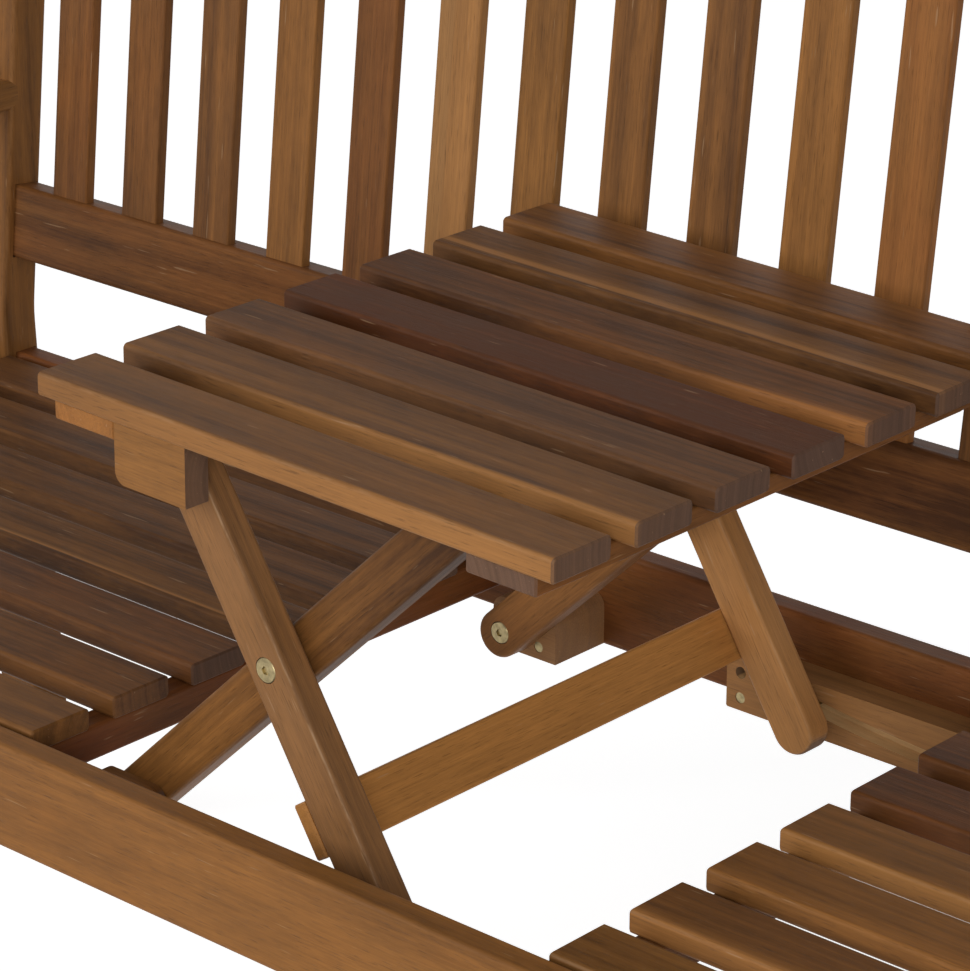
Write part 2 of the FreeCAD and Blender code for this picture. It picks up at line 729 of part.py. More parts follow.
def build():
    """All pieces by name, laid out from the front seat rail."""
    parts = {}

    # Seats
    left_end = -half_width + slat_end_gap
    bearer_inner = -bay_half - bearer_setback - bearer_width
    bearer_outer = left_end + bearer_setback
    bearers = [bearer(bearer_inner), bearer(bearer_outer)]
    slats = [slat(i, left_end, -bay_half, seat_height) for i in range(slat_count)]
    screws_left = seat_screws(bearer_inner) + seat_screws(bearer_outer)
    fixed = fix(slats + bearers, screws_left)
    slats, bearers = fixed[:slat_count], fixed[slat_count:]
    for i, piece in enumerate(slats):
        parts[f"left_seat_slat_{i + 1}"] = [piece]
        parts[f"right_seat_slat_{i + 1}"] = [mirrored_right(piece)]
    parts["seat_bearers_left"] = bearers
    parts["seat_bearers_right"] = [mirrored_right(b) for b in bearers]

    # Blocks for the legs
    front_screws = block_screws()
    base, guide = fix([base_block(), guide_block()], front_screws)
    parts["base_block_front"] = [base]
    parts["base_block_rear"] = [mirrored_back(base)]
    parts["guide_block_front"] = [guide]
    parts["guide_block_rear"] = [mirrored_back(guide)]

    # Rails with the bolts that hold them
    front_rail, rear_rail = seat_rail(-rail_thickness), seat_rail(seat_depth)
    back_rails, back_slats = make_back()
    rail_middle = (rail_top + rail_bottom) / 2
    back_mid = back_rail_thickness / 2
    seat_bolts = [(-rail_thickness / 2, rail_middle, 0.0),
                  (seat_depth + rail_thickness / 2, rail_middle, seat_depth + rail_thickness)]
    back_bolts = [on_back(z + back_rail_height / 2 - back_pivot.z, back_mid) for z in (lower_rail_z, top_rail_z)]
    holes, bolts, nuts, nut_holes = [], [], [], []
    for y, z, face in seat_bolts + [(y, z, y + barrel_length / 2) for y, z in back_bolts]:
        for turn in (lambda s: s, mirrored_right):
            bolts.append(turn(rail_bolt(y, z)))
            nuts.append(turn(barrel_nut(y, z, face)))
            holes.append(turn(rail_bolt_hole(y, z)))
            nut_holes.append(turn(rod(-half_width + barrel_setback, z, face - barrel_length - pin_end_gap,
                                      face + barrel_length, barrel_radius + running_clearance)))
    drilled = Part.makeCompound(holes)
    sockets = Part.makeCompound(nut_holes)
    rails = fix([front_rail], front_screws) + fix([rear_rail], twin(front_screws)) + back_rails
    rails = [one_solid(r.cut(drilled).cut(sockets)) for r in rails]
    names = ("front_seat_rail", "rear_seat_rail", "back_lower_rail", "back_top_rail")
    for name, rail in zip(names, rails):
        parts[name] = [rail]
    parts["back_slats"] = back_slats
    parts["rail_bolts"] = bolts + nuts

    # End frames
    reach = half_width + housing_depth
    seat_housings = [box(-reach, reach, y, y + rail_thickness, rail_bottom, rail_top)
                     for y in (-rail_thickness, seat_depth)]
    back_housings = [tilted(back_rail_block(z)) for z in (lower_rail_z, top_rail_z)]
    side_block, arm = side_rail_block(), armrest()
    cutters = Part.makeCompound(seat_housings + back_housings + [side_block, arm])
    leg_front = one_solid(front_leg().cut(Part.makeCompound(seat_housings + [side_block])).cut(drilled))
    post = one_solid(back_post().cut(cutters).cut(drilled))
    side = rounded(side_block, rail_rounding, AXIS_Y)
    ends = {"front_leg": leg_front, "back_post": post, "side_rail": side, "armrest": arm.cut(arm_tenon())}
    for name, piece in ends.items():
        parts[f"{name}_left"] = [piece]
        parts[f"{name}_right"] = [mirrored_right(piece)]

    # Legs under the table
    outer, inner = outer_leg(), inner_leg()
    bar = stretcher()
    bar_screws = stretcher_screws()
    bar, outer, outer_rear = fix([bar, outer, mirrored_back(outer)], bar_screws)
    parts["outer_leg_front"] = [outer]
    parts["outer_leg_rear"] = [outer_rear]
    parts["leg_stretcher"] = [bar]
    parts["inner_leg_front"] = [inner]
    parts["inner_leg_rear"] = [mirrored_back(inner)]
    foot = rod(*foot_pin, guide_thickness - slot_depth + blind_gap, outer_back - slot_wall - pin_end_gap, pin_radius)
    base_bolt = pivot_bolt(*base_pivot, inner_back, outer_back - bolt_grip + blind_gap)
    for name, pieces in (("foot_pins", [foot]), ("base_pivot_bolts", [base_bolt]),
                         ("centre_bolts", centre_fasteners())):
        parts[name] = pieces + [mirrored_back(p) for p in pieces]
    parts["head_bar"] = [head_bar()]

    # Table
    top_screws = table_screws()
    top_slats = [slat(i, table_left, table_right, table_top) for i in range(slat_count)]
    battens = [batten(batten_left, None), batten(batten_right - batten_width, batten_ramps())]
    fixed = fix(top_slats + battens, top_screws)
    for i, piece in enumerate(fixed[:slat_count]):
        parts[f"table_slat_{i + 1}"] = [sagged(piece)]
    parts["table_batten_left"] = [sagged(fixed[slat_count])]
    parts["table_batten_right"] = [sagged(fixed[slat_count + 1])]
    hinge = hinge_block()
    parts["hinge_block_front"] = [sagged(hinge)]
    parts["hinge_block_rear"] = [sagged(mirrored_back(hinge))]
    pivots = top_fasteners()
    parts["top_pivot_bolts"] = [sagged(p) for p in pivots + [mirrored_back(p) for p in pivots]]

    # Screws, grouped by the piece that carries them
    seat_side = [screw(*s) for s in screws_left]
    parts["frame_screws"] = (seat_side + [mirrored_right(s) for s in seat_side]
                             + [screw(*s) for s in front_screws + twin(front_screws)])
    parts["table_screws"] = [sagged(screw(*s)) for s in top_screws]
    parts["stretcher_screws"] = [screw(*s) for s in bar_screws]
    return parts


def main():
    """Centres the bench over the origin and writes one file for each sub-part."""
    parts = build()
    front = parts["armrest_left"][0].optimalBoundingBox().YMin
    rear = parts["back_post_left"][0].optimalBoundingBox().YMax
    shift = V(0, -(front + rear) / 2, 0)
    os.makedirs("parts", exist_ok=True)
    for name, solids in parts.items():
        shape = solids[0] if len(solids) == 1 else Part.makeCompound(solids)
        shape.translate(shift)
        shape.exportStep(os.path.join("parts", name + ".step"))
        if not shape.isValid():
            print("not valid:", name)
    print(len(parts), "sub-parts, shifted by", round(shift.y, 3))
    print("depth", round(rear - front, 2))
    print("lowered angles", round(inner_lowered, 3), round(outer_lowered, 3))


main()
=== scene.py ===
"""Companion seat bench of oiled hardwood, with a table that rises on crossed legs between its seats."""

import json
import math
import random

import bmesh
import bpy
from bpy.props import FloatProperty, FloatVectorProperty, PointerProperty
from mathutils import Matrix, Vector

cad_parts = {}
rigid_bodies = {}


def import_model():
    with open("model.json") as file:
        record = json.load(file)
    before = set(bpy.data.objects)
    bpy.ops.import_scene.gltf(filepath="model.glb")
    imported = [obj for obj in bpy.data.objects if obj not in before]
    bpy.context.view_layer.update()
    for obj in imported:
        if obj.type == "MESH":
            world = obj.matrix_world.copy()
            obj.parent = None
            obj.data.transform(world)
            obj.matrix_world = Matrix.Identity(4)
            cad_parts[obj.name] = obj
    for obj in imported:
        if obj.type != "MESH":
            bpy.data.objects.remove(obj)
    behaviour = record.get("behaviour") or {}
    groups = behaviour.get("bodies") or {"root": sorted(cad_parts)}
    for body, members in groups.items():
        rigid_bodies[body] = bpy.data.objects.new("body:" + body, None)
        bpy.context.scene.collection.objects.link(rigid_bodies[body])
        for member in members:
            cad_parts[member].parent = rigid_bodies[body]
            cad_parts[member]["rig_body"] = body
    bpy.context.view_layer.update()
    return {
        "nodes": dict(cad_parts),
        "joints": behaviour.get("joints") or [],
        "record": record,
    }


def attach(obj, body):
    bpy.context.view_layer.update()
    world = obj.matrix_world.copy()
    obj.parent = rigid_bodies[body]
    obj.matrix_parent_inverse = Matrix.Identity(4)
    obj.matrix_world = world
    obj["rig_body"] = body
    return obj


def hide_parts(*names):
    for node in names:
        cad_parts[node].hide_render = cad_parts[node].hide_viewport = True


bl_info = {
    "name": "Companion seat bench",
    "version": (1, 0, 0),
    "blender": (4, 5, 0),
    "location": "3D View > Sidebar > Bench",
    "description": "Dresses a slatted hardwood bench with a rise-and-fall table, and its studio",
    "category": "Add Mesh",
}

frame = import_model()

# The bench's directions, and the lean of the backrest and of the raised table
X = Vector((1, 0, 0))
Y = Vector((0, 1, 0))
Z = Vector((0, 0, 1))
BACK_TILT = math.radians(6.2)
TABLE_SAG = math.radians(1.14)

# Points this close are one, and a face this deep inside a board's box belongs to a groove, in metres
MERGE = 2e-6
SKIN = 0.002

# Cosines to a board's axes: of a flat face, of where a rounding starts and how far it goes, of a sawn end
FLAT = 0.99
ROUNDED = 0.97
ROUNDED_SPAN = 0.2
SAWN = 0.55
SAWN_SPAN = 0.2

# Edges sharper than this stay sharp, and flat faces count this much in the shading of the rounded ones
SHARP_ANGLE = math.radians(38)
FLAT_WEIGHT = 80

# A board without sapwood, sapwood that isn't a narrow strip, and a pith that lies behind the board
NO_SAP = 0.2
NO_STRIP = 0.1
PITH_BEHIND = (0.05, 0.0)


class BenchColours(bpy.types.PropertyGroup):
    """The colours of the wood and the metal."""

    heart_dark: FloatVectorProperty(
        name="Dark heartwood", description="The darkest streaks of the heartwood",
        subtype="COLOR", size=3, min=0, max=1, default=(0.055, 0.022, 0.007))
    heart_light: FloatVectorProperty(
        name="Light heartwood", description="The lighter bands of the heartwood",
        subtype="COLOR", size=3, min=0, max=1, default=(0.460, 0.200, 0.050))
    redwood: FloatVectorProperty(
        name="Red heartwood", description="The reddish cast of some boards",
        subtype="COLOR", size=3, min=0, max=1, default=(0.175, 0.050, 0.014))
    sapwood: FloatVectorProperty(
        name="Sapwood", description="The golden outer wood along some edges",
        subtype="COLOR", size=3, min=0, max=1, default=(0.370, 0.170, 0.048))
    end_grain: FloatVectorProperty(
        name="End grain", description="The greyish brown of the sawn ends",
        subtype="COLOR", size=3, min=0, max=1, default=(0.118, 0.072, 0.052))
    # This pale colour lines the rounded edges, partly as worn wood and partly as a painted highlight
    worn_and_highlit_edge: FloatVectorProperty(
        name="Worn edge", description="The pale wood where an edge or a face is rubbed",
        subtype="COLOR", size=3, min=0, max=1, default=(0.420, 0.270, 0.150))
    weathered: FloatVectorProperty(
        name="Weathered", description="The greyish film on the boards that have dried out",
        subtype="COLOR", size=3, min=0, max=1, default=(0.240, 0.160, 0.105))
    # This pale colour also paints light into the deep grooves, on top of their unoiled wood
    unoiled_and_lit_wood: FloatVectorProperty(
        name="Bare wood", description="The unoiled wood in the grooves of the guide blocks",
        subtype="COLOR", size=3, min=0, max=1, default=(0.700, 0.470, 0.230))
    brass: FloatVectorProperty(
        name="Brass", description="The dull brass of bolts and screws",
        subtype="COLOR", size=3, min=0, max=1, default=(0.340, 0.270, 0.140))
    steel: FloatVectorProperty(
        name="Steel", description="The zinc plating of the rail bolts",
        subtype="COLOR", size=3, min=0, max=1, default=(0.500, 0.490, 0.470))


class BenchFinish(bpy.types.PropertyGroup):
    """How the oiled surface is finished."""

    roughness: FloatProperty(
        name="Roughness", description="Gloss of the oiled faces, from 0, polished, to 1, dull",
        subtype="FACTOR", min=0, max=1, default=0.50)
    sheen: FloatProperty(
        name="Oil sheen", description="How strongly the oiled faces mirror the room",
        subtype="FACTOR", min=0, max=1, default=0.10)
    grain_relief: FloatProperty(
        name="Grain relief", description="Depth of the raised grain",
        subtype="DISTANCE", unit="LENGTH", min=0, max=0.002, default=0.00035)
    # How pale the rounded edges are painted, as worn wood and as a painted highlight together
    edge_wear_and_highlight: FloatProperty(
        name="Edge wear", description="How much of the rounded edges is rubbed pale",
        subtype="FACTOR", min=0, max=1, default=0.55)


class BenchStudio(bpy.types.PropertyGroup):
    """The floor, the lamps and the camera."""

    floor_size: FloatProperty(
        name="Floor size", description="Length of the floor's sides",
        subtype="DISTANCE", unit="LENGTH", min=2, max=100, default=40)
    side_light: FloatProperty(
        name="Side light", description="Power of each of the two large side lamps",
        subtype="POWER", unit="POWER", min=0, max=2000, default=105)
    sky: FloatProperty(
        name="Sky", description="Strength of the light from all round",
        min=0, max=3, default=0.36)
    focal_length: FloatProperty(
        name="Focal length", description="Focal length of the camera",
        subtype="DISTANCE_CAMERA", min=10, max=500, default=138.79)


# Boards


class Board:
    """How a board lies: its grain runs along, its width across and its thickness through."""

    def __init__(self, along, across):
        self.along = along.normalized()
        self.across = across.normalized()
        self.through = self.along.cross(self.across).normalized()

    def local(self, point):
        return Vector((point.dot(self.along), point.dot(self.across), point.dot(self.through)))


def turned(vector, axis, angle):
    """A vector turned about an axis by the right-hand rule."""
    return Matrix.Rotation(angle, 3, axis) @ vector


def joint_place(name):
    """A joint's place at rest."""
    return Vector(next(j["pos_m"] for j in frame["joints"] if j["name"] == name))


ALONG_BENCH = Board(X, Y)
ACROSS_BENCH = Board(Y, X)
UPRIGHT = Board(Z, X)
LEANING = Board(turned(Z, X, -BACK_TILT), X)
ALONG_BACK = Board(X, turned(Z, X, -BACK_TILT))
ALONG_TABLE = Board(turned(X, Y, TABLE_SAG), Y)
ACROSS_TABLE = Board(Y, turned(X, Y, TABLE_SAG))
INNER_LEG = Board(joint_place("legs_cross") - joint_place("table_rise"), Y)
OUTER_LEG = Board(joint_place("table_level") - joint_place("legs_cross"), Y)
STRETCHER = Board(Y, joint_place("table_level") - joint_place("legs_cross"))


def flood(shape):
    """The separate boards of a mesh, as lists of vertices."""
    left = set(shape.verts)
    while left:
        island = [left.pop()]
        reached = set(island)
        for vert in island:
            for edge in vert.link_edges:
                other = edge.other_vert(vert)
                if other not in reached:
                    reached.add(other)
                    island.append(other)
        left -= reached
        yield island


def look_of(name, index):
    """How one board looks: tone, redness, sapwood, greyness, how pale its rounded edges are worn and
    painted as a highlight, and how its ends and grooves show.
    """
    rng = random.Random(f"{name} {index}")
    look = {
        "tone": rng.uniform(0.32, 0.60),
        "red": max(0.0, rng.uniform(-0.1, 0.5)),
        "pith": (rng.choice((-1, 1)) * rng.uniform(0.042, 0.050), rng.uniform(-0.02, 0.02)),
        "sap": rng.choice((0.066, 0.070, NO_SAP, NO_SAP)),
        "band": NO_STRIP,
        "taper": rng.uniform(-0.01, 0.01),
        "start": rng.uniform(0, 40),
        "fade": rng.uniform(-0.2, 0.2),
        "grey": rng.uniform(0.0, 0.06),
        "wear": rng.uniform(0.4, 0.8),
        "end": 1.0,
        "bare": 0.0,
    }
    look.update(LOOKS.get((name, index), LOOKS.get(name, {})))
    return look


# The boards that stand out: tone from dark to light, its drift along the board in 1/m, which on the front
# inner leg is painted shade under the table, redness, how far from the pith the sapwood starts and how
# that tapers along the board, the width of a golden strip, the pith's place, greyness, how pale the
# rounded edges are worn and painted as a highlight, and how much of the sawn ends shows and how pale the
# grooves are painted, as unoiled wood and as painted light
LOOKS = {
    "front_seat_rail": {"tone": 0.62, "red": 0.14, "sap": NO_SAP, "grey": 0.0, "wear": 1.0},
    "rear_seat_rail": {"tone": 0.42, "red": 0.80, "sap": NO_SAP, "grey": 0.0},
    # The guide blocks' grooves are painted pale, as unoiled wood and as painted light in them
    "guide_block_front": {"tone": 0.80, "red": 0.0, "sap": NO_SAP, "grey": 0.25, "bare": 0.9},
    "guide_block_rear": {"tone": 0.80, "red": 0.0, "sap": NO_SAP, "grey": 0.25, "bare": 0.9},
    "base_block_rear": {"tone": 1.15, "red": 0.05, "sap": NO_SAP, "grey": 0.55, "end": 0.1},
    "hinge_block_front": {"tone": 0.78, "red": 0.05, "sap": NO_SAP},
    "back_post_left": {"tone": 0.50, "red": 0.15, "sap": NO_SAP},
    "leg_stretcher": {"tone": 1.25, "red": 0.0, "sap": NO_SAP, "end": 0.1},
    "outer_leg_front": {"tone": 0.60, "red": 0.10, "sap": NO_SAP, "grey": 0.25, "wear": 1.0},
    "outer_leg_rear": {"tone": 1.35, "red": 0.0, "sap": NO_SAP, "grey": 0.3, "wear": 0.8},
    # This leg darkens towards its upper end: painted shade under the table
    "inner_leg_front": {"tone": 0.42, "fade": -1.8, "red": 0.12, "sap": 0.06, "pith": (-0.02, -0.03)},
    "inner_leg_rear": {"tone": 0.47, "red": 0.25, "sap": NO_SAP},
    "table_slat_1": {"tone": 0.42, "red": 0.18, "sap": 0.0726, "pith": PITH_BEHIND, "grey": 0.08},
    "table_slat_2": {"tone": 0.31, "red": 0.16, "sap": 0.0712, "taper": -0.012, "pith": PITH_BEHIND,
                     "grey": 0.08},
    "table_slat_3": {"tone": 0.17, "red": 0.38, "sap": NO_SAP, "grey": 0.12, "wear": 0.3},
    "table_slat_4": {"tone": -0.06, "red": 0.90, "sap": NO_SAP, "wear": 0.3},
    "table_slat_5": {"tone": 0.14, "red": 0.45, "sap": 0.0742, "taper": -0.012, "pith": PITH_BEHIND,
                     "grey": 0.04, "wear": 0.3},
    "table_slat_6": {"tone": 0.27, "red": 0.14, "sap": 0.0625, "band": 0.0055, "taper": 0.02,
                     "pith": PITH_BEHIND, "wear": 0.3},
    "table_slat_7": {"tone": 0.36, "red": 0.32, "sap": NO_SAP, "wear": 0.3},
    "table_batten_left": {"tone": 0.85, "red": 0.30, "sap": NO_SAP, "end": 0.0},
    "table_batten_right": {"tone": 0.45, "red": 0.40, "sap": NO_SAP},
    "back_lower_rail": {"tone": 0.20, "red": 0.45, "sap": NO_SAP, "grey": 0.0},
    "seat_bearers_left": {"tone": 0.34, "red": 1.0, "sap": NO_SAP, "grey": 0.0},
    "left_seat_slat_1": {"tone": 0.36, "red": 0.10, "sap": NO_SAP, "wear": 0.3, "end": 0.0},
    "left_seat_slat_2": {"tone": 0.28, "red": 0.25, "sap": NO_SAP, "wear": 0.3, "end": 0.3},
    "left_seat_slat_3": {"tone": 0.24, "red": 0.45, "sap": NO_SAP, "wear": 0.2},
    "left_seat_slat_4": {"tone": 0.22, "red": 0.10, "sap": 0.0665, "band": 0.0028, "pith": PITH_BEHIND,
                         "wear": 0.2},
    "left_seat_slat_5": {"tone": 0.26, "red": 0.20, "sap": NO_SAP, "wear": 0.2},
    "left_seat_slat_6": {"tone": 0.20, "red": 0.20, "sap": NO_SAP, "wear": 0.2},
    "left_seat_slat_7": {"tone": 0.24, "red": 0.30, "sap": NO_SAP, "wear": 0.2},
    "right_seat_slat_3": {"tone": 0.65, "red": 0.15, "sap": NO_SAP},
    "right_seat_slat_4": {"tone": 0.56, "red": 0.10, "sap": 0.0722, "pith": PITH_BEHIND},
    "right_seat_slat_5": {"tone": 0.28, "red": 0.75, "sap": NO_SAP, "wear": 0.3},
    "right_seat_slat_6": {"tone": 0.25, "red": 0.60, "sap": NO_SAP, "wear": 0.3},
    ("back_slats", 1): {"tone": 0.44, "red": 0.35, "sap": NO_SAP},
    ("back_slats", 2): {"tone": 0.42, "red": 0.26, "sap": NO_SAP},
    ("back_slats", 3): {"tone": 0.66, "red": 0.15, "sap": NO_SAP},
    ("back_slats", 4): {"tone": 0.40, "red": 0.50, "sap": NO_SAP},
    ("back_slats", 5): {"tone": 1.00, "red": 0.0, "sap": 0.050, "pith": (0.045, 0.0), "grey": 0.2},
    ("back_slats", 6): {"tone": 0.55, "red": 0.0, "sap": NO_SAP},
    ("back_slats", 7): {"tone": 0.47, "red": 0.15, "sap": NO_SAP},
    ("back_slats", 8): {"tone": 0.47, "red": 0.20, "sap": NO_SAP},
    ("back_slats", 9): {"tone": 0.74, "red": 0.10, "sap": NO_SAP},
    ("back_slats", 10): {"tone": 0.82, "red": 0.45, "sap": NO_SAP},
}


def share(value):
    """A value kept between 0 and 1."""
    return min(1.0, max(0.0, value))


def dress(node, board, material):
    """Shows a wooden node as smooth boards whose grain runs along them."""
    source = frame["nodes"][node]
    mesh = bpy.data.meshes.new("wood_" + node)
    shape = bmesh.new()
    shape.from_mesh(source.data)
    bmesh.ops.remove_doubles(shape, verts=shape.verts, dist=MERGE)
    shape.normal_update()
    grain = shape.verts.layers.float_vector.new("grain")
    tint = shape.verts.layers.float_vector.new("tint")
    wear = shape.verts.layers.float.new("wear")
    cast = shape.verts.layers.float_vector.new("cast")
    end = shape.faces.layers.float.new("end_grain")
    bare = shape.faces.layers.float.new("bare")
    main = (board.along, board.across, board.through)
    islands = sorted(flood(shape), key=lambda verts: sum(v.co.x for v in verts) / len(verts))
    for index, island in enumerate(islands):
        look = look_of(node, index)
        places = [board.local(v.co) for v in island]
        low, high = (Vector([pick(p[i] for p in places) for i in range(3)]) for pick in (min, max))
        middle = (low + high) / 2
        for vert, place in zip(island, places):
            p = place - middle
            vert[grain] = Vector((p.x + look["start"], p.y - look["pith"][0], p.z - look["pith"][1]))
            # The tone drifts along the board; on the front inner leg the drift is painted shade under the
            # table
            tone = look["tone"] + look["fade"] * p.x
            vert[tint] = Vector((tone, look["red"], look["sap"] + look["taper"] * p.x))
            # A pale line along the rounded edges, partly worn wood and partly a painted highlight
            vert[wear] = edge_share(vert, main) * look["wear"]
            vert[cast] = Vector((look["grey"], look["band"], 0.0))
        for face in {face for vert in island for face in vert.link_faces}:
            spot = board.local(face.calc_center_median())
            sunk = all(low[i] + SKIN < spot[i] < high[i] - SKIN for i in range(3))
            sawn = share((abs(face.normal.dot(board.along)) - SAWN) / SAWN_SPAN)
            face[end] = sawn * look["end"]
            # Faces inside a groove are painted pale, as unoiled wood and as painted light
            face[bare] = look["bare"] if sunk else 0.0
    for face in shape.faces:
        face.smooth = True
    shape.to_mesh(mesh)
    shape.free()
    if "custom_normal" in mesh.attributes:
        mesh.attributes.remove(mesh.attributes["custom_normal"])
    mesh.set_sharp_from_angle(angle=SHARP_ANGLE)
    piece = bpy.data.objects.new("wood_" + node, mesh)
    bpy.context.scene.collection.objects.link(piece)
    even = piece.modifiers.new("Even shading", "WEIGHTED_NORMAL")
    even.keep_sharp = True
    even.weight = FLAT_WEIGHT
    mesh.materials.append(material)
    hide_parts(node)
    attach(piece, source["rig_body"])
    return piece


def edge_share(vert, main):
    """How far round an edge a point lies: 0 on or beside a flat face, 1 on the middle of the rounding."""
    if any(max(abs(face.normal.dot(axis)) for axis in main) > FLAT for face in vert.link_faces):
        return 0.0
    nearest = max(abs(vert.normal.dot(axis)) for axis in main)
    return share((ROUNDED - nearest) / ROUNDED_SPAN)


# Materials


class Shader:
    """A short way to write the nodes of a material or of the world."""

    def __init__(self, owner):
        owner.use_nodes = True
        self.owner = owner
        self.tree = owner.node_tree
        self.tree.nodes.clear()

    def node(self, kind, inputs=(), **settings):
        made = self.tree.nodes.new("ShaderNode" + kind)
        for key, value in settings.items():
            setattr(made, key, value)
        for key, value in dict(inputs).items():
            if isinstance(value, bpy.types.NodeSocket):
                self.tree.links.new(value, made.inputs[key])
            else:
                made.inputs[key].default_value = value
        return made

    def attribute(self, name):
        return self.node("Attribute", attribute_name=name)

    def split(self, vector):
        parts = self.node("SeparateXYZ", {"Vector": vector})
        return parts.outputs[0], parts.outputs[1], parts.outputs[2]

    def joined(self, x, y, z):
        return self.node("CombineXYZ", {0: x, 1: y, 2: z}).outputs[0]

    def math(self, operation, a, b=0.0, c=0.0, clamp=False):
        made = self.node("Math", {0: a, 1: b, 2: c}, operation=operation, use_clamp=clamp)
        return made.outputs[0]

    def remap(self, value, low, high, to_low=0.0, to_high=1.0, smooth=False):
        kind = "SMOOTHSTEP" if smooth else "LINEAR"
        limits = {0: value, 1: low, 2: high, 3: to_low, 4: to_high}
        return self.node("MapRange", limits, interpolation_type=kind).outputs[0]

    def noise(self, vector, detail=2.0, roughness=0.5, scale=1.0):
        settings = {"Vector": vector, "Scale": scale, "Detail": detail, "Roughness": roughness}
        return self.node("TexNoise", settings).outputs["Fac"]

    def mix(self, factor, a, b, blend="MIX"):
        made = self.node("Mix", data_type="RGBA", blend_type=blend)
        for index, value in ((0, factor), (6, a), (7, b)):
            if isinstance(value, bpy.types.NodeSocket):
                self.tree.links.new(value, made.inputs[index])
            elif index == 0:
                made.inputs[index].default_value = value
            else:
                made.inputs[index].default_value = (*value, 1.0)
        return made.outputs[2]

    def shifted(self, value, noise, amount, clamp=False):
        """A value that a noise moves up and down, by half the amount each way."""
        return self.math("MULTIPLY_ADD", self.math("SUBTRACT", noise, 0.5), amount, value, clamp=clamp)

    def backdrop_rays(self):
        """1 for the rays that see the white backdrop, 0 for those that carry its light."""
        path = self.node("LightPath")
        seen = self.math("MAXIMUM", path.outputs["Is Camera Ray"], path.outputs["Is Glossy Ray"])
        return self.math("MAXIMUM", seen, path.outputs["Is Transmission Ray"])

    def finished(self, kind, surface):
        """Links the surface to the output and gives the finished material or world."""
        out = self.node(kind)
        self.tree.links.new(surface.outputs[0], out.inputs[0])
        return self.owner

    def ringed(self, x, radius, along, across, layer):
        """Coordinates that follow the rings: cycles per metre along the board and out from the pith."""
        return self.joined(self.math("MULTIPLY", x, along), self.math("MULTIPLY", radius, across), layer)

    def stretched(self, x, y, z, along, across):
        """Coordinates drawn out along the grain: cycles per metre along and across it."""
        return self.joined(self.math("MULTIPLY", x, along), self.math("MULTIPLY", y, across),
                           self.math("MULTIPLY", z, across))


def scaled(colour, factor):
    """A colour made darker or lighter."""
    return [channel * factor for channel in colour]


# The figure of the wood: cycles per metre along the grain and across it
SWAY = (2.2, 9.0)
BROAD_BANDS = (1.6, 75.0)
RINGS = (3.5, 360.0)
FIBRES = (18.0, 900.0)
PORES = (75.0, 1500.0)
BLOTCHES = (10.0, 26.0)
FLECKS = (40.0, 230.0)
SCUFFS = (34.0, 420.0)

# How far the rings sway, in metres, and how much each part of the figure lightens and darkens the wood
SWAY_REACH = 0.012
BROAD_DEPTH = 0.9
RING_DEPTH = 0.55
BLOTCH_DEPTH = 0.5
FLECK_DEPTH = 0.45
SHADE_GAIN = 0.69


